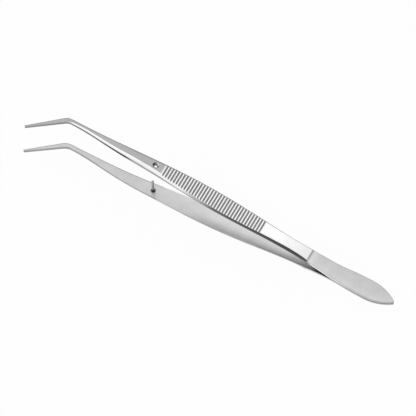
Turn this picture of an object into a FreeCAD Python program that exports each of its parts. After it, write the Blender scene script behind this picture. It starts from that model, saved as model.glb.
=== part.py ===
import FreeCAD, Part
import math
import os
import Sketcher

# Angled tweezers: two spring arms of steel strip, flat-welded together at the tail,
# and a guide pin that stands in the lower arm and enters a hole in the upper one.
# Each arm is drawn in its own frame: X from the tail point to the tip, Z outwards from
# the plane in which the two leaves lie on each other. Millimetres and degrees.

Vector = FreeCAD.Vector
Rotation = FreeCAD.Rotation

# Places along X, counted from the tail point
stations = {
    "armLength": 150.9,
    "leafWidestAt": 10.7,
    "leafMiddleAt": 24.0,
    "partingAt": 21.6,
    "bendEnd": 26.0,
    "stepAt": 35.3,
    "gripStart": 55.3,
    "bellyAt": 76.5,
    "gripEnd": 97.4,
    "pinAt": 100.8,
    "shankAt": 115.5,
    "taperAt": 126.0,
}
# Widths across Y at those places
widths = {
    "leafWidth": 7.5,
    "leafMiddleWidth": 6.35,
    "stepWidth": 5.3,
    "gripStartWidth": 5.9,
    "bellyWidth": 7.4,
    "gripEndWidth": 6.05,
    "shankWidth": 4.05,
    "taperWidth": 2.5,
    "elbowWidth": 1.75,
    "tipWidth": 0.72,
}
# Thicknesses across Z
thicknesses = {
    "leafThick": 1.03,
    "gripThick": 1.88,
    "gripEndThick": 1.92,
    "shankThick": 1.7,
    "tipThick": 0.95,
}
# Slopes of the side view with the arms sprung open, and the turn of the tip
angles = {
    "partingAngle": 10.9,
    "gripAngle": 6.2,
    "shankAngle": -0.8,
    "elbowAngle": 39.0,
}
# Bevels along the outer edges: the width of each across Y
bevels = {
    "stepBevel": 0.45,
    "gripStartBevel": 0.6,
    "bellyBevel": 0.75,
    "gripEndBevel": 1.15,
    "shankBevel": 1.0,
    "taperBevel": 0.72,
    "elbowBevel": 0.45,
    "lastBevel": 0.05,
}
# The outer part of that width falls steeply, as a flank. How far bevel and flank fall per
# millimetre across, and the stretch of the elbow in which both run out.
flanks = {
    "stepFlank": 0.26,
    "gripStartFlank": 0.35,
    "bellyFlank": 0.42,
    "gripEndFlank": 0.65,
    "shankFlank": 0.57,
    "taperFlank": 0.33,
    "elbowFlank": 0.1,
    "lastFlank": 0.02,
    "bevelFall": 0.6,
    "flankFall": 2.0,
    "fadeLength": 1.7,
}
# How far the strip's middle line runs out of true, away from the side to which the tip turns
drifts = {
    "shankDrift": -0.15,
    "taperDrift": 0.21,
    "elbowDrift": 0.45,
}
# Roundings, grip grooves, guide pin and its hole
details = {
    "noseRadius": 0.45,
    "stepBlend": 0.5,
    "tipLength": 13.1,
    "elbowRadius": 4.6,
    "tipRoundness": 0.6,
    "groovePitch": 1.18,
    "grooveRadius": 0.31,
    "grooveDepth": 0.25,
    "pinRadius": 0.48,
    "pinHeight": 7.1,
    "pinEndChamfer": 0.12,
    "pinSeatDepth": 1.3,
    "pinSeatClearance": 0.01,
    "guideClearance": 0.25,
    "guideChamfer": 0.35,
    "cutterReach": 1.0,
}

doc = FreeCAD.newDocument("AngledTweezers")


def newSheet(name, rows):
    sheet = doc.addObject("Spreadsheet::Sheet", name)
    for row, (alias, content) in enumerate(rows.items(), start=1):
        sheet.set(f"A{row}", alias)
        sheet.set(f"B{row}", str(content))
        sheet.setAlias(f"B{row}", alias)
    doc.recompute()
    return sheet


def rise(start, end, startAngle, endAngle):
    # A line, or an arc that turns evenly from one slope to another, climbs by its mean slope
    return f"({end} - {start}) * tan(({startAngle} + {endAngle}) / 2 * 1deg)"


def between(at, start, end, startValue, endValue):
    return f"{startValue} + ({endValue} - {startValue}) * ({at} - {start}) / ({end} - {start})"


driving = {**stations, **widths, **thicknesses, **angles, **bevels, **flanks, **drifts, **details}
sizes = newSheet("Sizes", driving)
at = {alias: f"Sizes.{alias}" for alias in driving}

# Worked out from the driving sizes: heights of the inner face (rise) and of the outer
# face (top) over the joint plane, slopes on the two arcs, and the tail's and tip's curves
workings = {
    "bendRise": rise(at["partingAt"], at["bendEnd"], 0, at["partingAngle"]),
    "gripRise": "bendRise + " + rise(at["bendEnd"], at["gripStart"], at["partingAngle"], at["gripAngle"]),
    "gripEndRise": "gripRise + " + rise(at["gripStart"], at["gripEnd"], at["gripAngle"], at["gripAngle"]),
    "shankRise": "gripEndRise + " + rise(at["gripEnd"], at["shankAt"], at["gripAngle"], at["shankAngle"]),
    "tipRise": "shankRise + " + rise(at["shankAt"], at["armLength"], at["shankAngle"], at["shankAngle"]),
    "stepSlope": between(at["stepAt"], at["bendEnd"], at["gripStart"], at["partingAngle"], at["gripAngle"]),
    "stepRise": "bendRise + " + rise(at["bendEnd"], at["stepAt"], at["partingAngle"], "stepSlope"),
    "pinSlope": between(at["pinAt"], at["gripEnd"], at["shankAt"], at["gripAngle"], at["shankAngle"]),
    "pinRise": "gripEndRise + " + rise(at["gripEnd"], at["pinAt"], at["gripAngle"], "pinSlope"),
    "pinThick": between(at["pinAt"], at["gripEnd"], at["shankAt"], at["gripEndThick"], at["shankThick"]),
    "stepTop": f"stepRise + {at['gripThick']}",
    "gripTop": f"gripRise + {at['gripThick']}",
    "gripEndTop": f"gripEndRise + {at['gripEndThick']}",
    "shankTop": f"shankRise + {at['shankThick']}",
    "tipTop": f"tipRise + {at['tipThick']}",
    "bellyTop": between(at["bellyAt"], at["gripStart"], at["gripEnd"], "gripTop", "gripEndTop"),
    "gripSlope": f"atan((gripEndTop - gripTop) / ({at['gripEnd']} - {at['gripStart']}))",
    "flankRadius": f"({at['leafWidestAt']} ^ 2 - 2 * {at['leafWidestAt']} * {at['noseRadius']} + {at['leafWidth']} ^ 2 / 4)"
    f" / ({at['leafWidth']} - 2 * {at['noseRadius']})",
    "noseAcross": f"{at['noseRadius']} * (flankRadius - {at['leafWidth']} / 2) / (flankRadius - {at['noseRadius']})",
    "noseAlong": f"{at['noseRadius']} - {at['noseRadius']} * ({at['leafWidestAt']} - {at['noseRadius']})"
    f" / (flankRadius - {at['noseRadius']})",
    "restSlope": f"atan((gripEndTop - {at['leafThick']}) / {at['gripEnd']})",
    "elbowAt": f"{at['armLength']} - {at['tipLength']}",
    "elbowStart": f"elbowAt - {at['elbowRadius']} * tan({at['elbowAngle']} / 2 * 1deg)",
    "taperTop": between(at["taperAt"], at["shankAt"], at["armLength"], "shankTop", "tipTop"),
    "elbowTop": between("elbowStart", at["shankAt"], at["armLength"], "shankTop", "tipTop"),
    "fadeEnd": f"elbowStart + {at['fadeLength']}",
    "fadeTop": between("fadeEnd", at["shankAt"], at["armLength"], "shankTop", "tipTop"),
    "tipAlong": f"{at['armLength']} - {at['tipWidth']} / 2",
    "tipAcross": f"(tipAlong - elbowAt) * tan({at['elbowAngle']} * 1deg) - {at['elbowDrift']}",
}
worked = newSheet("Worked", {alias: "=" + formula for alias, formula in workings.items()})
at.update({alias: f"Worked.{alias}" for alias in workings})


def size(text):
    # The number that an expression over the sheets gives now
    result = sizes.evalExpression(text)
    return float(getattr(result, "Value", result))


def originPlane(body, role):
    return next(item for item in body.Origin.OriginFeatures if item.Role == role)


def newSketch(body, role, name, offset="0"):
    sketch = body.newObject("Sketcher::SketchObject", f"{body.Label}_{name}")
    sketch.AttachmentSupport = (originPlane(body, role), [""])
    sketch.MapMode = "FlatFace"
    sketch.setExpression("AttachmentOffset.Base.z", offset)
    return sketch


def newFeature(body, kind, name, sketch):
    feature = body.newObject(f"PartDesign::{kind}", f"{body.Label}_{name}")
    feature.Profile = sketch
    return feature


def bind(sketch, kind, where, text):
    # A dimension whose value is an expression over the sheets
    index = sketch.addConstraint(Sketcher.Constraint(kind, *where, size(text)))
    sketch.setExpression(f"Constraints[{index}]", text)


def bindPoint(sketch, geometry, end, place):
    bind(sketch, "DistanceX", (-1, 1, geometry, end), place[0])
    bind(sketch, "DistanceY", (-1, 1, geometry, end), place[1])


def point(place):
    return Vector(size(place[0]), size(place[1]), 0)


def arcFrom(start, end, direction):
    # The arc from start to end that leaves along direction
    chord = end - start
    turn = math.atan2(direction.x * chord.y - direction.y * chord.x, direction.dot(chord))
    across = Vector(chord.y, -chord.x, 0).normalize()
    middle = (start + end) * 0.5 + across * (chord.Length / 2 * math.tan(turn / 2))
    # A sketch keeps its arcs anticlockwise
    return Part.Arc(start, middle, end) if turn > 0 else Part.Arc(end, middle, start)


def smoothCurve(places):
    # A curve through the places, level at both ends
    level = Vector(math.copysign(1, places[-1].x - places[0].x), 0, 0)
    curve = Part.BSplineCurve()
    curve.interpolate(places, InitialTangent=level, FinalTangent=level)
    return curve


def closedProfile(sketch, outline):
    # A closed outline. Each row is a corner, as two expressions, and the kind of the stretch
    # that leaves it: "line", an arc that runs "on" from the stretch before it, an arc that runs
    # "to" the line after it, an arc as a pair of its side and radius, or a list of knots for a
    # smooth curve.
    corners = [row[:2] for row in outline]
    kinds = [row[2] for row in outline]
    places = [point(corner) for corner in corners]
    count = len(places)
    stretches = []
    heading = Vector(1, 0, 0)
    for index, kind in enumerate(kinds):
        start, end, after = (places[(index + step) % count] for step in range(3))
        chord = end - start
        if kind == "line":
            curve = Part.LineSegment(start, end)
            heading = chord
        elif kind == "on":
            curve = arcFrom(start, end, heading)
            # The heading at the far end mirrors the first one about the chord
            along = Vector(chord).normalize()
            heading = along * (2 * along.dot(heading)) - heading
        elif kind == "to":
            curve = arcFrom(end, start, end - after)
        elif isinstance(kind, tuple):
            half = math.degrees(math.asin(chord.Length / 2 / size(kind[1])))
            curve = arcFrom(start, end, Rotation(Vector(0, 0, 1), kind[0] * half).multVec(chord))
        else:
            curve = smoothCurve([start] + [point(knot) for knot in kind] + [end])
        stretches.append(sketch.addGeometry(curve, False))
    ends = []
    for geometry, start in zip(stretches, places):
        curve = sketch.Geometry[geometry]
        forward = (curve.StartPoint - start).Length < (curve.EndPoint - start).Length
        ends.append((1, 2) if forward else (2, 1))
    for index, geometry in enumerate(stretches):
        kind = kinds[index]
        following = (index + 1) % count
        smooth = kind == "to" or kinds[following] == "on"
        meeting = (geometry, ends[index][1], stretches[following], ends[following][0])
        sketch.addConstraint(Sketcher.Constraint("Tangent" if smooth else "Coincident", *meeting))
        bindPoint(sketch, geometry, ends[index][0], corners[index])
        if isinstance(kind, tuple):
            bind(sketch, "Radius", (geometry,), kind[1])
        elif isinstance(kind, list):
            first = sketch.GeometryCount
            sketch.exposeInternalGeometry(geometry)
            inner = range(first, sketch.GeometryCount)
            knots = [item for item in inner if sketch.Geometry[item].TypeId == "Part::GeomPoint"]
            for knot, place in zip(knots[1:-1], kind):
                bindPoint(sketch, knot, 1, place)


def sideStrip(body):
    # The strip from the side: leaf, step, straight ribbed grip, shank and tip
    sketch = newSketch(body, "XZ_Plane", "side")
    blendStart = f"{at['stepAt']} - {at['stepBlend']}"
    blendRise = f"{at['stepRise']} - {at['stepBlend']} * tan({at['stepSlope']} * 1deg) + {at['leafThick']}"
    outline = [
        ("0", at["leafThick"], "line"),
        (at["partingAt"], at["leafThick"], "on"),
        (at["bendEnd"], f"{at['bendRise']} + {at['leafThick']}", "on"),
        (blendStart, blendRise, "on"),
        (at["stepAt"], f"{at['stepRise']} + {at['leafThick']} + {at['stepBlend']}", "line"),
        (at["stepAt"], at["stepTop"], "to"),
        (at["gripStart"], at["gripTop"], "line"),
        (at["gripEnd"], at["gripEndTop"], "on"),
        (at["shankAt"], at["shankTop"], "line"),
        (at["armLength"], at["tipTop"], "line"),
        (at["armLength"], at["tipRise"], "line"),
        (at["shankAt"], at["shankRise"], "to"),
        (at["gripEnd"], at["gripEndRise"], "line"),
        (at["gripStart"], at["gripRise"], "on"),
        (at["bendEnd"], at["bendRise"], "to"),
        (at["partingAt"], "0", "line"),
        ("0", "0", "line"),
    ]
    closedProfile(sketch, outline)
    strip = newFeature(body, "Pad", "strip", sketch)
    strip.SideType = "Symmetric"
    strip.setExpression("Length", f"2 * ({at['tipAcross']} + {at['leafWidth']})")
    doc.recompute()


def planCut(body, near):
    # Cuts away what lies outside the outline from above. near, 1 or -1, is the side to which
    # the tip turns.
    sketch = newSketch(body, "XY_Plane", "plan")
    bend = f"{at['elbowAngle']} * 1deg"

    def edge(side, station, width, drift="0"):
        return (at[station], f"{near} * ({side} * {at[width]} / 2 - {drift})")

    def elbowEnd(side):
        radius = f"({at['elbowRadius']} - {side} * {at['elbowWidth']} / 2)"
        along = f"{at['elbowStart']} + {radius} * sin({bend})"
        across = f"{near} * ({at['elbowRadius']} - {radius} * cos({bend}) - {at['elbowDrift']})"
        return radius, (along, across)

    def tipCorner(side):
        half = f"{side} * {at['tipWidth']} / 2"
        return (f"{at['tipAlong']} - {half} * sin({bend})", f"{near} * ({at['tipAcross']} + {half} * cos({bend}))")

    knots = [("leafMiddleAt", "leafMiddleWidth"), ("stepAt", "stepWidth"), ("gripStart", "gripStartWidth"),
             ("bellyAt", "bellyWidth"), ("gripEnd", "gripEndWidth"),
             ("shankAt", "shankWidth", at["shankDrift"]), ("taperAt", "taperWidth", at["taperDrift"])]
    nearEdge = [edge(1, *knot) for knot in knots]
    farEdge = [edge(-1, *knot) for knot in reversed(knots)]
    flank = (near, at["flankRadius"])
    insideRadius, insideEnd = elbowEnd(1)
    outsideRadius, outsideEnd = elbowEnd(-1)
    outline = [
        (at["noseAlong"], f"{-near} * {at['noseAcross']}", (near, at["noseRadius"])),
        (at["noseAlong"], f"{near} * {at['noseAcross']}", flank),
        (*edge(1, "leafWidestAt", "leafWidth"), nearEdge),
        (*edge(1, "elbowStart", "elbowWidth", at["elbowDrift"]), (-near, insideRadius)),
        (*insideEnd, "line"),
        (*tipCorner(1), (near, f"{at['tipRoundness']} * {at['tipWidth']}")),
        (*tipCorner(-1), "line"),
        (*outsideEnd, (near, outsideRadius)),
        (*edge(-1, "elbowStart", "elbowWidth", at["elbowDrift"]), farEdge),
        (*edge(-1, "leafWidestAt", "leafWidth"), flank),
    ]
    closedProfile(sketch, outline)
    reach = f"({at['tipAcross']} + {at['leafWidth']} + {at['cutterReach']})"
    start = f"-{at['cutterReach']}"
    end = f"{at['armLength']} + {at['cutterReach']}"
    frame = [(start, f"-{reach}", "line"), (end, f"-{reach}", "line"), (end, reach, "line"), (start, reach, "line")]
    closedProfile(sketch, frame)
    cut = newFeature(body, "Pocket", "outline", sketch)
    cut.Type = "ThroughAll"
    cut.SideType = "Symmetric"
    doc.recompute()


def bevelCut(body, near):
    # Both outer edges of the handle and shank lose a bevel and a flank whose widths change
    # from place to place, and which run out in the elbow
    stretches = [("stepAt", "step", "stepTop", "0"), ("gripStart", "gripStart", "gripTop", "0"),
                 ("bellyAt", "belly", "bellyTop", "0"), ("gripEnd", "gripEnd", "gripEndTop", "0"),
                 ("shankAt", "shank", "shankTop", at["shankDrift"]),
                 ("taperAt", "taper", "taperTop", at["taperDrift"]),
                 ("elbowStart", "elbow", "elbowTop", at["elbowDrift"])]
    for edge, side in (("near", 1), ("far", -1)):
        # Each row: place along the strip, how far out the edge lies, top, bevel and flank
        rows = [(at[station], f"({at[name + 'Width']} / 2 - {side} * {drift})", at[top],
                 at[name + "Bevel"], at[name + "Flank"]) for station, name, top, drift in stretches]
        radius = f"({at['elbowRadius']} - {side} * {at['elbowWidth']} / 2)"
        centre = f"({at['elbowRadius']} - {at['elbowDrift']})"
        last = f"{side} * ({centre} - sqrt({radius} ^ 2 - {at['fadeLength']} ^ 2))"
        rows.append((at["fadeEnd"], last, at["fadeTop"], at["lastBevel"], at["lastFlank"]))
        # One smooth cut to the start of the elbow, and a short straight one that runs out in it
        for name, part in ((f"{edge}_bevel", rows[:-1]), (f"{edge}_fade", rows[-2:])):
            sections = []
            for number, (along, half, top, width, flank) in enumerate(part, start=1):
                sketch = newSketch(body, "YZ_Plane", f"{name}_{number}", along)
                brow = f"{half} - {width} - {at['cutterReach']}"
                knee = f"{top} - {at['bevelFall']} * ({width} - {flank})"
                above = f"{top} + {at['bevelFall']} * {at['cutterReach']}"
                below = f"{knee} - {at['flankFall']} * ({flank} + {at['cutterReach']})"
                outside = f"{half} + {at['cutterReach']}"
                corners = [(outside, below), (outside, above), (brow, above), (f"{half} - {flank}", knee)]
                closedProfile(sketch, [(f"{side * near} * ({across})", height, "line") for across, height in corners])
                sections.append(sketch)
            doc.recompute()
            bevel = newFeature(body, "SubtractiveLoft", name, sections[0])
            bevel.Sections = sections[1:]
            doc.recompute()


def gripGrooves(body):
    # Round grooves across the outer face, evenly spaced along the straight grip
    sketch = newSketch(body, "XZ_Plane", "groove")
    slope = at["gripSlope"]
    along = f"{at['gripStart']} + {at['grooveRadius']}"
    lift = f"({at['grooveRadius']} - {at['grooveDepth']}) / cos({slope})"
    centre = (along, f"{at['gripTop']} + {at['grooveRadius']} * tan({slope}) + {lift}")
    circle = sketch.addGeometry(Part.Circle(point(centre), Vector(0, 0, 1), size(at["grooveRadius"])), False)
    bindPoint(sketch, circle, 3, centre)
    bind(sketch, "Radius", (circle,), at["grooveRadius"])
    ends = [(at["gripStart"], at["gripTop"]), (at["gripEnd"], at["gripEndTop"])]
    guide = sketch.addGeometry(Part.LineSegment(point(ends[0]), point(ends[1])), True)
    bindPoint(sketch, guide, 1, ends[0])
    bindPoint(sketch, guide, 2, ends[1])
    groove = newFeature(body, "Pocket", "groove", sketch)
    groove.Type = "ThroughAll"
    groove.SideType = "Symmetric"
    doc.recompute()
    row = body.newObject("PartDesign::LinearPattern", f"{body.Label}_grooves")
    row.Originals = [groove]
    row.Direction = (sketch, ["Axis0"])
    row.Mode = "Spacing"
    row.setExpression("Offset", at["groovePitch"])
    span = f"({at['gripEnd']} - {at['gripStart']}) / cos({slope}) - 2 * {at['grooveRadius']}"
    row.setExpression("Occurrences", f"floor(({span}) / {at['groovePitch']}) + 1")
    body.Tip = row
    doc.recompute()


def turned(body, kind, name, outline):
    # A profile turned about the pin's axis, which stands square to the inner face. Each row
    # gives a height along the axis, outwards from that face, and a radius.
    sketch = newSketch(body, "XZ_Plane", name)
    slope = f"{at['pinSlope']} * 1deg"

    def place(height, radius):
        return (f"{at['pinAt']} - ({height}) * sin({slope}) + ({radius}) * cos({slope})",
                f"{at['pinRise']} + ({height}) * cos({slope}) + ({radius}) * sin({slope})")

    closedProfile(sketch, [(*place(height, radius), "line") for height, radius in outline])
    ends = [place("0", "0"), place("1", "0")]
    axis = sketch.addGeometry(Part.LineSegment(point(ends[0]), point(ends[1])), True)
    bindPoint(sketch, axis, 1, ends[0])
    bindPoint(sketch, axis, 2, ends[1])
    feature = newFeature(body, kind, name + "_turned", sketch)
    feature.ReferenceAxis = (sketch, ["Axis0"])
    feature.Angle = 360
    doc.recompute()
    return feature


def newArm(label, near):
    body = doc.addObject("PartDesign::Body", label)
    body.Label = label
    sideStrip(body)
    planCut(body, near)
    bevelCut(body, near)
    gripGrooves(body)
    return body


# The upper arm has the hole that the pin enters, with a chamfer on its outer edge
upperArm = newArm("upper_arm", 1)
holeRadius = f"{at['pinRadius']} + {at['guideClearance']}"
mouth = f"{at['pinThick']} + {at['cutterReach']}"
turned(upperArm, "Groove", "guide_hole", [
    (f"-{at['cutterReach']}", "0"),
    (f"-{at['cutterReach']}", holeRadius),
    (f"{at['pinThick']} - {at['guideChamfer']}", holeRadius),
    (mouth, f"{holeRadius} + {at['guideChamfer']} + {at['cutterReach']}"),
    (mouth, "0"),
])

# The lower arm has the seat that the pin is pressed into
lowerArm = newArm("lower_arm", -1)
seatRadius = f"{at['pinRadius']} + {at['pinSeatClearance']}"
turned(lowerArm, "Groove", "pin_seat", [
    (f"-{at['cutterReach']}", "0"),
    (f"-{at['cutterReach']}", seatRadius),
    (at["pinSeatDepth"], seatRadius),
    (at["pinSeatDepth"], "0"),
])

guidePin = doc.addObject("PartDesign::Body", "guide_pin")
guidePin.Label = "guide_pin"
turned(guidePin, "Revolution", "pin", [
    (at["pinSeatDepth"], "0"),
    (at["pinSeatDepth"], at["pinRadius"]),
    (f"{at['pinEndChamfer']} - {at['pinHeight']}", at["pinRadius"]),
    (f"-{at['pinHeight']}", f"{at['pinRadius']} - {at['pinEndChamfer']}"),
    (f"-{at['pinHeight']}", "0"),
])

# The part's frame: tips towards -X, the side to which they turn towards -Y, Z up. The tweezers
# lie as they rest on a table, on the tail's point and the front end of the lower arm's grip,
# with the tips in the air.
level = Rotation(Vector(0, 1, 0), size(at["restSlope"]))
faceUp = Rotation(Vector(0, 0, 1), 180)
faceDown = Rotation(Vector(0, 1, 0), 180)
turns = {upperArm: faceUp, lowerArm: faceDown, guidePin: faceDown}
for body, turn in turns.items():
    body.Placement = FreeCAD.Placement(Vector(), level.multiply(turn))
doc.recompute()
whole = FreeCAD.BoundBox()
for body in turns:
    whole.add(body.Shape.optimalBoundingBox(False, False))
shift = Vector(-whole.Center.x, -whole.Center.y, -whole.ZMin)
for body in turns:
    body.Placement.Base = shift
doc.recompute()

for item in doc.Objects:
    if "Invalid" in item.State or "Error" in item.State:
        raise RuntimeError(f"{item.Label} failed: {item.State}")
os.makedirs("parts", exist_ok=True)
for body in turns:
    if body.Shape.isNull() or not body.Shape.isValid() or len(body.Shape.Solids) != 1:
        raise RuntimeError(f"{body.Label} isn't one valid solid")
    body.Shape.exportStep(f"parts/{body.Label}.step")
    print(body.Label, round(body.Shape.Volume, 2), "mm3", len(body.Shape.Faces), "faces", body.Shape.BoundBox)
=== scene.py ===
import math

import bpy
from mathutils import Euler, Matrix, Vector

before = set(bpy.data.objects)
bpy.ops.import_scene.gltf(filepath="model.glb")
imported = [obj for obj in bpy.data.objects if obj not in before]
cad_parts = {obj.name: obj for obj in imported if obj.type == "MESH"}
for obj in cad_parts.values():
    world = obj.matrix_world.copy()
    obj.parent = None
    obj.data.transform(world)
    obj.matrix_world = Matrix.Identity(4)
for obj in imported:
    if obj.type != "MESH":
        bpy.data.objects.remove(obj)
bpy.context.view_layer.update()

scene = bpy.context.scene
scene.view_settings.view_transform = "Standard"

# Angled steel tweezers, lying sprung open on a white table and seen from above. Metres throughout.


def newMaterial(name):
    material = bpy.data.materials.new(name)
    material.use_nodes = True
    material.node_tree.nodes.clear()
    return material


def addNode(tree, kind, **values):
    # values are the node's own settings, and numbers for its sockets where no setting has that name
    node = tree.nodes.new(kind)
    for key, value in values.items():
        if hasattr(node, key):
            setattr(node, key, value)
        else:
            node.inputs[key.replace("_", " ")].default_value = value
    return node


def wire(tree, source, target):
    tree.links.new(source, target)


def doMath(tree, operation, first, second=None, third=None, clamp=False):
    # One Math node. Each input is a socket or a number.
    node = tree.nodes.new("ShaderNodeMath")
    node.operation = operation
    node.use_clamp = clamp
    for index, value in enumerate((first, second, third)):
        if value is None:
            continue
        if isinstance(value, (int, float)):
            node.inputs[index].default_value = value
        else:
            wire(tree, value, node.inputs[index])
    return node.outputs[0]


def ramp(tree, value, start, end, low=0.0, high=1.0):
    # Runs smoothly from low to high while value goes from start to end
    node = tree.nodes.new("ShaderNodeMapRange")
    node.interpolation_type = "SMOOTHSTEP"
    wire(tree, value, node.inputs["Value"])
    node.inputs["From Min"].default_value = start
    node.inputs["From Max"].default_value = end
    node.inputs["To Min"].default_value = low
    node.inputs["To Max"].default_value = high
    return node.outputs["Result"]


def seenRays(tree):
    # 1 for what the camera or the steel sees, 0 for the light that falls on things
    path = addNode(tree, "ShaderNodeLightPath")
    seen = doMath(tree, "MAXIMUM", path.outputs["Is Camera Ray"], path.outputs["Is Glossy Ray"])
    return doMath(tree, "MAXIMUM", seen, path.outputs["Is Transmission Ray"])


# Table, backdrop light and camera

tableLook = {
    "size": 6.0,
    "drop": 0.0002,  # keeps the table just clear of the lowest crest
    "paint": (0.97, 0.97, 0.97, 1),
    "shown": 0.95,  # share of plain white in what the camera and the steel see
}


def makeTable():
    bpy.ops.object.select_all(action="DESELECT")
    bpy.ops.mesh.primitive_plane_add(size=tableLook["size"], location=(0, 0, -tableLook["drop"]))
    table = bpy.context.object
    table.name = "table"
    material = newMaterial("tablePaint")
    tree = material.node_tree
    paint = addNode(tree, "ShaderNodeBsdfDiffuse", Color=tableLook["paint"])
    white = addNode(tree, "ShaderNodeEmission", Color=(1, 1, 1, 1), Strength=1.0)
    share = doMath(tree, "MULTIPLY", seenRays(tree), tableLook["shown"])
    mix = addNode(tree, "ShaderNodeMixShader")
    wire(tree, share, mix.inputs["Fac"])
    wire(tree, paint.outputs[0], mix.inputs[1])
    wire(tree, white.outputs[0], mix.inputs[2])
    output = addNode(tree, "ShaderNodeOutputMaterial")
    wire(tree, mix.outputs[0], output.inputs["Surface"])
    table.data.materials.append(material)


studio = {
    "fill": 0.8,  # even light from all round
    "zenith": 1.0,
    "horizon": 0.55,
    "horizonHeight": 0.05,  # heights run from 0 at eye level to 1 straight up
    "zenithHeight": 0.6,
}


def makeStudio():
    world = bpy.data.worlds.new("studioAir")
    world.use_nodes = True
    tree = world.node_tree
    tree.nodes.clear()
    place = addNode(tree, "ShaderNodeTexCoord")
    split = addNode(tree, "ShaderNodeSeparateXYZ")
    wire(tree, place.outputs["Generated"], split.inputs[0])
    height = ramp(tree, split.outputs["Z"], studio["horizonHeight"], studio["zenithHeight"],
                  studio["horizon"], studio["zenith"])
    shown = addNode(tree, "ShaderNodeBackground", Color=(1, 1, 1, 1))
    wire(tree, height, shown.inputs["Strength"])
    fill = addNode(tree, "ShaderNodeBackground", Color=(1, 1, 1, 1), Strength=studio["fill"])
    mix = addNode(tree, "ShaderNodeMixShader")
    wire(tree, seenRays(tree), mix.inputs["Fac"])
    wire(tree, fill.outputs[0], mix.inputs[1])
    wire(tree, shown.outputs[0], mix.inputs[2])
    output = addNode(tree, "ShaderNodeOutputWorld")
    wire(tree, mix.outputs[0], output.inputs["Surface"])
    scene.world = world


softboxes = {
    "overhead": {"place": (0.16, 0.40, 0.91), "size": 0.25, "power": 0.03},
    "nearSide": {"place": (-0.28, -0.62, 0.74), "size": 0.35, "power": 0.1},
}


def makeSoftboxes():
    for name, box in softboxes.items():
        light = bpy.data.lights.new(name, "AREA")
        light.shape = "SQUARE"
        light.size = box["size"]
        light.energy = box["power"]
        lamp = bpy.data.objects.new(name, light)
        lamp.location = box["place"]
        lamp.rotation_euler = (Vector(box["place"])).to_track_quat("Z", "Y").to_euler()
        scene.collection.objects.link(lamp)


viewpoint = {
    "place": (0.516342, -0.800955, 1.76879),
    "turn": (28.4439, 2.2153, 28.7336),
    "lens": 467.79,
    "sensorWidth": 36,
    "clip": (0.1, 20),
}


def makeCamera():
    camera = bpy.data.objects.new("camera", bpy.data.cameras.new("camera"))
    camera.data.lens = viewpoint["lens"]
    camera.data.sensor_width = viewpoint["sensorWidth"]
    camera.data.clip_start, camera.data.clip_end = viewpoint["clip"]
    camera.location = viewpoint["place"]
    camera.rotation_euler = Euler([math.radians(angle) for angle in viewpoint["turn"]])
    scene.collection.objects.link(camera)
    scene.camera = camera


makeTable()
makeStudio()
makeSoftboxes()
makeCamera()
print("table, studio and camera made")


# Steel finishes

def newGroup(name, inputs, outputs):
    # inputs are rows of label, socket type and value, outputs rows of label and socket type
    group = bpy.data.node_groups.new(name, "ShaderNodeTree")
    for label, kind, value in inputs:
        socket = group.interface.new_socket(label, in_out="INPUT", socket_type=kind)
        if value is not None:
            socket.default_value = value
    for label, kind in outputs:
        group.interface.new_socket(label, in_out="OUTPUT", socket_type=kind)
    return group, group.nodes.new("NodeGroupInput"), group.nodes.new("NodeGroupOutput")


grainLook = {
    "lineScale": 7000.0,
    "lineStretch": 28.0,
    "lineNoise": {"Detail": 3.0, "Roughness": 0.6},
    "cloudScale": 240.0,
    "cloudNoise": {"Detail": 4.0, "Roughness": 0.55},
    "scratchScale": 620.0,
    "scratchTurn": 0.35,
    "scratchStretch": 0.12,
    "scratchWidth": 0.02,
    "scratchClouds": (0.52, 0.64),  # scratches come only where the clouds are this strong
}


def makeBeltGrain():
    # Fine lines that a grinding belt leaves along the strip, with cloudy patches and a few scratches
    group, start, end = newGroup("beltGrain", [
        ("Vector", "NodeSocketVector", None),
        ("Line Scale", "NodeSocketFloat", grainLook["lineScale"]),
        ("Stretch", "NodeSocketFloat", grainLook["lineStretch"]),
        ("Cloud Scale", "NodeSocketFloat", grainLook["cloudScale"]),
    ], [("Lines", "NodeSocketFloat"), ("Clouds", "NodeSocketFloat"), ("Scratches", "NodeSocketFloat")])
    split = group.nodes.new("ShaderNodeSeparateXYZ")
    wire(group, start.outputs["Vector"], split.inputs[0])
    along = doMath(group, "DIVIDE", split.outputs["X"], start.outputs["Stretch"])
    drawn = group.nodes.new("ShaderNodeCombineXYZ")
    wire(group, along, drawn.inputs["X"])
    wire(group, split.outputs["Y"], drawn.inputs["Y"])
    wire(group, split.outputs["Z"], drawn.inputs["Z"])
    lines = addNode(group, "ShaderNodeTexNoise", **grainLook["lineNoise"])
    wire(group, drawn.outputs[0], lines.inputs["Vector"])
    wire(group, start.outputs["Line Scale"], lines.inputs["Scale"])
    clouds = addNode(group, "ShaderNodeTexNoise", **grainLook["cloudNoise"])
    wire(group, start.outputs["Vector"], clouds.inputs["Vector"])
    wire(group, start.outputs["Cloud Scale"], clouds.inputs["Scale"])
    cells = addNode(group, "ShaderNodeTexVoronoi", feature="DISTANCE_TO_EDGE",
                    Scale=grainLook["scratchScale"], Randomness=1.0)
    bent = addNode(group, "ShaderNodeMapping", Rotation=(0.0, 0.0, grainLook["scratchTurn"]),
                   Scale=(grainLook["scratchStretch"], 1.0, 1.0))
    wire(group, start.outputs["Vector"], bent.inputs["Vector"])
    wire(group, bent.outputs[0], cells.inputs["Vector"])
    thin = ramp(group, cells.outputs["Distance"], 0.0, grainLook["scratchWidth"], 1.0, 0.0)
    rare = ramp(group, clouds.outputs["Fac"], *grainLook["scratchClouds"])
    wire(group, lines.outputs["Fac"], end.inputs["Lines"])
    wire(group, clouds.outputs["Fac"], end.inputs["Clouds"])
    wire(group, doMath(group, "MULTIPLY", thin, rare), end.inputs["Scratches"])
    return group


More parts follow.
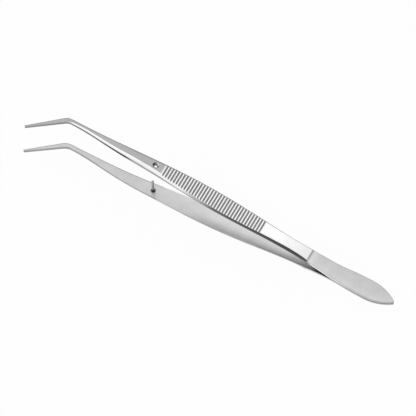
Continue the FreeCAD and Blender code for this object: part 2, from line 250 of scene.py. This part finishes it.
# Where one kind of face passes into the next: for the outer face the outward part of its
# normal, for the others the part across the strip
faceTurns = {
    "outer": (0.05, 0.2),
    "level": (0.2, 0.35),
    "bevel": (0.25, 0.4),
    "flank": (0.68, 0.78),
    "side": (0.93, 0.97),
}


def makeFaceSorter():
    # Tells the strip's faces apart by the way they look: outer face, bevel, flank and side
    group, start, end = newGroup("faceSorter", [
        ("Normal", "NodeSocketVector", None),
        ("Outward", "NodeSocketFloat", 1.0),
    ], [("Outer", "NodeSocketFloat"), ("Level", "NodeSocketFloat"), ("Bevel", "NodeSocketFloat"),
        ("Flank", "NodeSocketFloat"), ("Side", "NodeSocketFloat"), ("Far", "NodeSocketFloat")])
    split = group.nodes.new("ShaderNodeSeparateXYZ")
    wire(group, start.outputs["Normal"], split.inputs[0])
    across = doMath(group, "ABSOLUTE", split.outputs["Y"])
    out = doMath(group, "MULTIPLY", split.outputs["Z"], start.outputs["Outward"])
    outer = ramp(group, out, *faceTurns["outer"])
    bevel = doMath(group, "MULTIPLY", ramp(group, across, *faceTurns["bevel"]), outer)
    wire(group, outer, end.inputs["Outer"])
    wire(group, ramp(group, across, *faceTurns["level"], 1.0, 0.0), end.inputs["Level"])
    wire(group, ramp(group, split.outputs["Y"], *faceTurns["level"]), end.inputs["Far"])
    wire(group, bevel, end.inputs["Bevel"])
    wire(group, ramp(group, across, *faceTurns["flank"]), end.inputs["Flank"])
    wire(group, ramp(group, across, *faceTurns["side"]), end.inputs["Side"])
    return group


grooveEdge = (0.00002, 0.00014)  # depths between which a crest passes into its groove


def makeGrooveFinder():
    # Groove is 0 on the crests and 1 in the grooves, from the depth under the crests' plane.
    # Phase says how far from the front of its crest a point lies, 0 to 1 over one pitch.
    group, start, end = newGroup("grooveFinder", [
        ("Vector", "NodeSocketVector", None),
        ("Crest Normal", "NodeSocketVector", (0.0, 0.0, 1.0)),
        ("Crest Height", "NodeSocketFloat", 0.0),
        ("Front", "NodeSocketFloat", -0.02),
        ("Rear", "NodeSocketFloat", 0.02),
        ("First", "NodeSocketFloat", -0.02),
        ("Pitch", "NodeSocketFloat", 0.00118),
    ], [("Groove", "NodeSocketFloat"), ("Phase", "NodeSocketFloat")])
    dot = addNode(group, "ShaderNodeVectorMath", operation="DOT_PRODUCT")
    wire(group, start.outputs["Vector"], dot.inputs[0])
    wire(group, start.outputs["Crest Normal"], dot.inputs[1])
    depth = doMath(group, "SUBTRACT", start.outputs["Crest Height"], dot.outputs["Value"])
    split = group.nodes.new("ShaderNodeSeparateXYZ")
    wire(group, start.outputs["Vector"], split.inputs[0])
    behind = doMath(group, "GREATER_THAN", split.outputs["X"], start.outputs["Front"])
    before = doMath(group, "LESS_THAN", split.outputs["X"], start.outputs["Rear"])
    inGrip = doMath(group, "MULTIPLY", behind, before)
    deep = ramp(group, depth, *grooveEdge)
    ribs = doMath(group, "DIVIDE", doMath(group, "SUBTRACT", split.outputs["X"], start.outputs["First"]),
                  start.outputs["Pitch"])
    wire(group, doMath(group, "MULTIPLY", deep, inGrip), end.inputs["Groove"])
    wire(group, doMath(group, "FRACT", ribs), end.inputs["Phase"])
    return group


beltGrain = makeBeltGrain()
faceSorter = makeFaceSorter()
grooveFinder = makeGrooveFinder()


def placeGroup(tree, group, links, **values):
    # links gives the sockets wired to the group's inputs
    node = tree.nodes.new("ShaderNodeGroup")
    node.node_tree = group
    for key, source in links.items():
        wire(tree, source, node.inputs[key])
    for key, value in values.items():
        node.inputs[key.replace("_", " ")].default_value = value
    return node


def alongStrip(tree, x, stops, course="EASE"):
    # A value that changes along the tweezers. Each stop is a place along X, in millimetres, and
    # the value there.
    first, last = stops[0][0], stops[-1][0]
    run = doMath(tree, "DIVIDE", doMath(tree, "SUBTRACT", x, first / 1000), (last - first) / 1000, clamp=True)
    node = tree.nodes.new("ShaderNodeValToRGB")
    band = node.color_ramp
    band.interpolation = course
    while len(band.elements) < len(stops):
        band.elements.new(0.5)
    for element, (place, value) in zip(band.elements, stops):
        element.position = (place - first) / (last - first)
        element.color = (value, value, value, 1)
    wire(tree, run, node.inputs["Fac"])
    return node.outputs["Color"]


def blend(tree, share, low, high):
    # low where share is 0, high where it is 1. Each is a socket or a number.
    node = tree.nodes.new("ShaderNodeMix")
    wire(tree, share, node.inputs[0])
    for socket, value in ((node.inputs[2], low), (node.inputs[3], high)):
        if isinstance(value, (int, float)):
            socket.default_value = value
        else:
            wire(tree, value, socket)
    return node.outputs[0]


# Tones are how much light the steel throws back. Stops run from the tips to the tail. Most of the
# bands are painted reflections and shade: they stand for what polished steel mirrors, and stay in place when
# it is seen from another side.
upperArmLook = {
    "outward": 1.0,
    "crestNormal": (0.212751, 0.0, 0.977107),
    "crestHeight": 0.0177021,
    "grip": (-0.0206, 0.0211),
    "ribs": (-0.020188, 0.001153),  # front of the first crest, and the pitch along X
    # On the outer face the polished handle is lighter than the tips and the leaf; near 40.8 mm, at the step
    # down to the leaf, there is a painted shade line and a painted highlight
    "outerTone": [(-76, 0.46), (-20.6, 0.45), (-20.2, 0.8), (21, 0.8), (22, 0.9), (40.4, 0.8),
                  (40.8, 0.52), (41.4, 0.7), (44, 0.59), (76, 0.57)],
    "outerGloss": [(-76, 0.34), (-20.6, 0.34), (-20.2, 0.2), (40.4, 0.2), (40.8, 0.36), (76, 0.36)],
    "bevelTone": [(-76, 0.5), (-62, 0.92), (40, 0.92), (43, 0.5), (76, 0.5)],
    "flankTone": [(-76, 0.3), (-62, 0.3), (-55, 0.7), (-47, 0.95), (-38, 0.95), (-30, 0.85), (-22, 0.95),
                  (-13, 1.0), (-5, 0.5), (3, 0.16), (11, 0.09), (40, 0.07), (43, 0.6), (76, 0.42)],
    "sideTone": [(-76, 0.24), (-62, 0.18), (-55, 0.1), (-36, 0.04), (-31, 0.4), (-22, 0.36), (-13, 0.5),
                 (-5, 0.33), (3, 0.11), (20, 0.05), (40, 0.05), (43, 0.85), (53, 0.85), (61, 0.55),
                 (76, 0.42)],
    "sideHeight": (0.0007, 0.001),
    "innerLine": [(-76, 0.0268), (-36, 0.02314), (-32, 0.02264), (-28, 0.02205), (-24, 0.02134),
                  (-20, 0.02052), (20, 0.01185), (30, 0.00956), (40, 0.00697), (50, 0.0039), (54, 0.0033),
                  (76, 0.00097)],
    "farShade": 0.38,
    "innerTone": [(-76, 0.5), (40, 0.5), (46, 0.15), (76, 0.1)],
    "nearShade": 1.0,
    "edgeReflectionTone": 0.65,
    "grooveShade": (0.42, 0.2),
    "spot": (-0.0238, 0.0032),  # the guide hole
    "spotRing": (0.00078, 0.0012),
    "spotShadeTone": 0.2,
}
lowerArmLook = {
    "outward": -1.0,
    "crestNormal": (0.003909, 0.0, -0.999992),
    "crestHeight": -0.0000892,
    "grip": (-0.0230, 0.0196),
    "ribs": (-0.022565, 0.00118),
    "outerTone": [(-76, 0.46), (-23.4, 0.45), (-23.0, 0.8), (39.8, 0.8), (40.2, 0.59), (76, 0.57)],
    "outerGloss": [(-76, 0.34), (-23.4, 0.34), (-23.0, 0.2), (39.8, 0.2), (40.2, 0.36), (76, 0.36)],
    "bevelTone": [(-76, 0.5), (40, 0.5)],
    "flankTone": [(-76, 0.3), (40, 0.3), (43, 0.5), (76, 0.42)],
    "sideTone": [(-76, 0.3), (-60, 0.28), (-55, 0.2), (-30, 0.15), (-14, 0.25), (0, 0.35), (40, 0.4),
                 (43, 0.6), (76, 0.42)],
    "sideHeight": (0.0005, 0.0008),
    "innerLine": [(-76, 0.00722), (-36, 0.0025), (-32, 0.0022), (-28, 0.002), (-24, 0.00191),
                  (20, 0.00204), (24, 0.00207), (30, 0.0022), (36, 0.00244), (40, 0.00265), (50, 0.0036),
                  (54, 0.0033), (76, 0.00097)],
    "farShade": 0.38,
    "innerTone": [(-76, 0.61), (-38, 0.61), (-22, 0.65), (3, 0.68), (30, 0.66), (40, 0.5),
                  (46, 0.15), (76, 0.1)],
    "nearShade": 0.75,
    "edgeReflectionTone": 0.42,
    "grooveShade": (0.42, 0.2),
    "spot": (-0.0257, 0.0031),  # the foot of the pin
    "spotRing": (0.0007, 0.0013),
    "spotShadeTone": 0.15,
}
# Settings for the painted reflection along the edges
edgeReflection = {"samples": 6, "radius": 0.0008, "turn": (0.86, 0.998)}
# Where the two leaves lie on each other: the plane's normal and height, and the dark line's reach
leafJoint = {
    "normal": (0.105046, 0.0, 0.994467),
    "height": 0.0089494,
    "reach": (0.0001, 0.0004),
    "tone": 0.3,
}
# What the steel of both arms shares
armSteel = {
    "gripFade": 0.0002,
    "crestPhase": (0.05, 0.5),
    "crestShade": (1.06, 0.8),
    "groovePhase": (0.5, 0.95),
    "leafStart": (0.0405, 0.041),
    "leafAcross": (-0.0005, 0.0065),
    "leafShade": (1.08, 0.96),
    "bellyStart": (-0.014, 0.008),
    "innerAcross": (-0.0006, 0.0035),
    "innerShade": 1.1,
    "clouds": (0.3, 0.7),
    "cloudShade": (0.95, 1.05),
    "cloudGloss": (-0.03, 0.03),
    "lines": (0.25, 0.75),
    "lineShade": (0.96, 1.04),
    "scratchShine": 0.05,
    "scratchHeight": -0.8,
    "innerGloss": 0.34,
    "flankGloss": 0.28,
    "grooveGloss": 0.12,
    "bump": {"Strength": 0.08, "Distance": 0.000006},
}


def finishSteel(tree, tone, gloss, height, bump):
    # Metal of a grey tone and a gloss, with height as its fine bumps
    colour = tree.nodes.new("ShaderNodeCombineColor")
    for channel in ("Red", "Green", "Blue"):
        wire(tree, tone, colour.inputs[channel])
    relief = addNode(tree, "ShaderNodeBump", **bump)
    wire(tree, height, relief.inputs["Height"])
    shader = addNode(tree, "ShaderNodeBsdfPrincipled", Metallic=1.0)
    wire(tree, colour.outputs[0], shader.inputs["Base Color"])
    wire(tree, gloss, shader.inputs["Roughness"])
    wire(tree, relief.outputs[0], shader.inputs["Normal"])
    output = addNode(tree, "ShaderNodeOutputMaterial")
    wire(tree, shader.outputs[0], output.inputs["Surface"])


def makeArmSteel(name, look):
    material = newMaterial(name)
    tree = material.node_tree
    place = addNode(tree, "ShaderNodeTexCoord")
    split = tree.nodes.new("ShaderNodeSeparateXYZ")
    wire(tree, place.outputs["Object"], split.inputs[0])
    x = split.outputs["X"]
    faces = placeGroup(tree, faceSorter, {"Normal": place.outputs["Normal"]}, Outward=look["outward"])
    ribs = placeGroup(tree, grooveFinder, {"Vector": place.outputs["Object"]},
                      Crest_Normal=look["crestNormal"], Crest_Height=look["crestHeight"],
                      Front=look["grip"][0], Rear=look["grip"][1],
                      First=look["ribs"][0], Pitch=look["ribs"][1])
    grain = placeGroup(tree, beltGrain, {"Vector": place.outputs["Object"]})
    groove = doMath(tree, "MULTIPLY", ribs.outputs["Groove"], faces.outputs["Outer"])
    groove = doMath(tree, "MULTIPLY", groove, faces.outputs["Level"])
    # The wide faces, without bevels, flanks and sides
    slanted = doMath(tree, "MAXIMUM", faces.outputs["Bevel"], faces.outputs["Flank"])
    flatFace = doMath(tree, "SUBTRACT", 1.0, slanted)
    front, rear = look["grip"]
    inGrip = doMath(tree, "MULTIPLY", ramp(tree, x, front, front + armSteel["gripFade"]),
                    ramp(tree, x, rear - armSteel["gripFade"], rear, 1.0, 0.0))
    # A dark line where the edges of the two leaves meet
    dot = addNode(tree, "ShaderNodeVectorMath", operation="DOT_PRODUCT")
    wire(tree, place.outputs["Object"], dot.inputs[0])
    dot.inputs[1].default_value = leafJoint["normal"]
    apart = doMath(tree, "ABSOLUTE", doMath(tree, "SUBTRACT", dot.outputs["Value"], leafJoint["height"]))
    joint = ramp(tree, apart, *leafJoint["reach"], leafJoint["tone"], 1.0)
    # Painted reflection: the flat faces are darker near their edges, as if the edges were rounded a little
    # and mirrored the darker side of the room. The rounded normal only finds the edges.
    geometry = tree.nodes.new("ShaderNodeNewGeometry")
    rounded = addNode(tree, "ShaderNodeBevel", samples=edgeReflection["samples"], Radius=edgeReflection["radius"])
    kept = addNode(tree, "ShaderNodeVectorMath", operation="DOT_PRODUCT")
    wire(tree, rounded.outputs[0], kept.inputs[0])
    wire(tree, geometry.outputs["Normal"], kept.inputs[1])
    edge = ramp(tree, kept.outputs["Value"], *edgeReflection["turn"], 1.0, 0.0)
    edge = doMath(tree, "MULTIPLY", edge, doMath(tree, "SUBTRACT", 1.0, inGrip))
    # Round the hole in the upper arm and the pin's foot on the lower arm the steel is darker: painted shade
    # in and round the hole, and a painted shadow and reflection round the pin's foot
    flat = addNode(tree, "ShaderNodeCombineXYZ")
    wire(tree, x, flat.inputs["X"])
    wire(tree, split.outputs["Y"], flat.inputs["Y"])
    gap = addNode(tree, "ShaderNodeVectorMath", operation="DISTANCE")
    wire(tree, flat.outputs[0], gap.inputs[0])
    gap.inputs[1].default_value = (*look["spot"], 0.0)
    spot = ramp(tree, gap.outputs["Value"], *look["spotRing"], look["spotShadeTone"], 1.0)

    # Painted shade: the grooves are darker than the crests, the crests darken towards the tail, and so do the
    # grooves behind them
    crestShade = ramp(tree, ribs.outputs["Phase"], *armSteel["crestPhase"], *armSteel["crestShade"])
    outerTone = doMath(tree, "MULTIPLY", alongStrip(tree, x, look["outerTone"]),
                       blend(tree, inGrip, 1.0, crestShade))
    grooveShade = ramp(tree, ribs.outputs["Phase"], *armSteel["groovePhase"], *look["grooveShade"])
    # Painted light: the leaf is a little lighter towards its near edge
    leafShade = ramp(tree, split.outputs["Y"], *armSteel["leafAcross"], *armSteel["leafShade"])
    onLeaf = ramp(tree, x, *armSteel["leafStart"])
    outerTone = doMath(tree, "MULTIPLY", outerTone, blend(tree, onLeaf, 1.0, leafShade))
    # Painted shade: the inner face darkens towards its near edge over the belly and the handle, and towards
    # the tail where the leaves close on each other
    innerShade = ramp(tree, split.outputs["Y"], *armSteel["innerAcross"], look["nearShade"],
                      armSteel["innerShade"])
    onBelly = ramp(tree, x, *armSteel["bellyStart"])
    innerTone = doMath(tree, "MULTIPLY", alongStrip(tree, x, look["innerTone"]),
                       blend(tree, onBelly, 1.0, innerShade))
    tone = blend(tree, faces.outputs["Outer"], innerTone, outerTone)
    # Painted reflection: the bevels take their own bands of tone
    tone = blend(tree, faces.outputs["Bevel"], tone, alongStrip(tree, x, look["bevelTone"]))
    # Painted reflections: dark and light bands on the sides, and on the foot of the flank over them
    risen = doMath(tree, "SUBTRACT", split.outputs["Z"], alongStrip(tree, x, look["innerLine"], "LINEAR"))
    risen = doMath(tree, "MULTIPLY", risen, look["outward"])
    side = doMath(tree, "MAXIMUM", faces.outputs["Side"], ramp(tree, risen, *look["sideHeight"], 1.0, 0.0))
    flank = blend(tree, side, alongStrip(tree, x, look["flankTone"]), alongStrip(tree, x, look["sideTone"]))
    tone = blend(tree, faces.outputs["Flank"], tone, flank)
    # Painted shade: the far faces take one darker tone
    tone = blend(tree, faces.outputs["Far"], tone, look["farShade"])
    tone = doMath(tree, "MULTIPLY", tone, blend(tree, groove, 1.0, grooveShade))
    tone = doMath(tree, "MULTIPLY", tone, joint)
    edge = doMath(tree, "MULTIPLY", edge, flatFace)
    tone = doMath(tree, "MULTIPLY", tone, blend(tree, edge, 1.0, look["edgeReflectionTone"]))
    tone = doMath(tree, "MULTIPLY", tone, spot)
    clouds, lines, scratches = (grain.outputs[name] for name in ("Clouds", "Lines", "Scratches"))
    tone = doMath(tree, "MULTIPLY", tone, ramp(tree, clouds, *armSteel["clouds"], *armSteel["cloudShade"]))
    tone = doMath(tree, "MULTIPLY", tone, ramp(tree, lines, *armSteel["lines"], *armSteel["lineShade"]))
    shine = doMath(tree, "MULTIPLY", scratches, armSteel["scratchShine"])
    tone = doMath(tree, "ADD", tone, shine, clamp=True)

    outerGloss = alongStrip(tree, x, look["outerGloss"])
    gloss = blend(tree, faces.outputs["Outer"], armSteel["innerGloss"], outerGloss)
    gloss = blend(tree, faces.outputs["Flank"], gloss, armSteel["flankGloss"])
    gloss = doMath(tree, "ADD", gloss, ramp(tree, clouds, *armSteel["clouds"], *armSteel["cloudGloss"]))
    gloss = doMath(tree, "ADD", gloss, doMath(tree, "MULTIPLY", groove, armSteel["grooveGloss"]))

    height = doMath(tree, "ADD", lines, doMath(tree, "MULTIPLY", scratches, armSteel["scratchHeight"]))
    finishSteel(tree, tone, gloss, height, armSteel["bump"])
    return material


guidePinLook = {
    "tone": 0.42,
    "rootShadowTone": 0.06,
    "root": (0.0018, 0.0026),  # where the painted shadow at the pin's foot ends
    "rings": {"Scale": 2600.0, "Distortion": 1.5, "Detail": 2.0},
    "ringShade": (0.92, 1.06),
    "ringGloss": (0.26, 0.34),
    "bump": {"Strength": 0.3, "Distance": 0.00001},
}


def makePinSteel():
    # Turned steel: rings round the pin, with a painted shadow where it enters the arm
    material = newMaterial("guidePinSteel")
    tree = material.node_tree
    place = addNode(tree, "ShaderNodeTexCoord")
    split = tree.nodes.new("ShaderNodeSeparateXYZ")
    wire(tree, place.outputs["Object"], split.inputs[0])
    rings = addNode(tree, "ShaderNodeTexWave", wave_type="BANDS", bands_direction="Z",
                    **guidePinLook["rings"])
    wire(tree, place.outputs["Object"], rings.inputs["Vector"])
    tone = ramp(tree, split.outputs["Z"], *guidePinLook["root"],
                guidePinLook["rootShadowTone"], guidePinLook["tone"])
    ring = rings.outputs["Fac"]
    tone = doMath(tree, "MULTIPLY", tone, ramp(tree, ring, 0.0, 1.0, *guidePinLook["ringShade"]))
    gloss = ramp(tree, ring, 0.0, 1.0, *guidePinLook["ringGloss"])
    finishSteel(tree, tone, gloss, ring, guidePinLook["bump"])
    return material


finishes = {
    "upper_arm": makeArmSteel("upperArmSteel", upperArmLook),
    "lower_arm": makeArmSteel("lowerArmSteel", lowerArmLook),
    "guide_pin": makePinSteel(),
}
for node, finish in finishes.items():
    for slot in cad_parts[node].material_slots:
        slot.material = finish
print("steel laid on the arms and the pin")
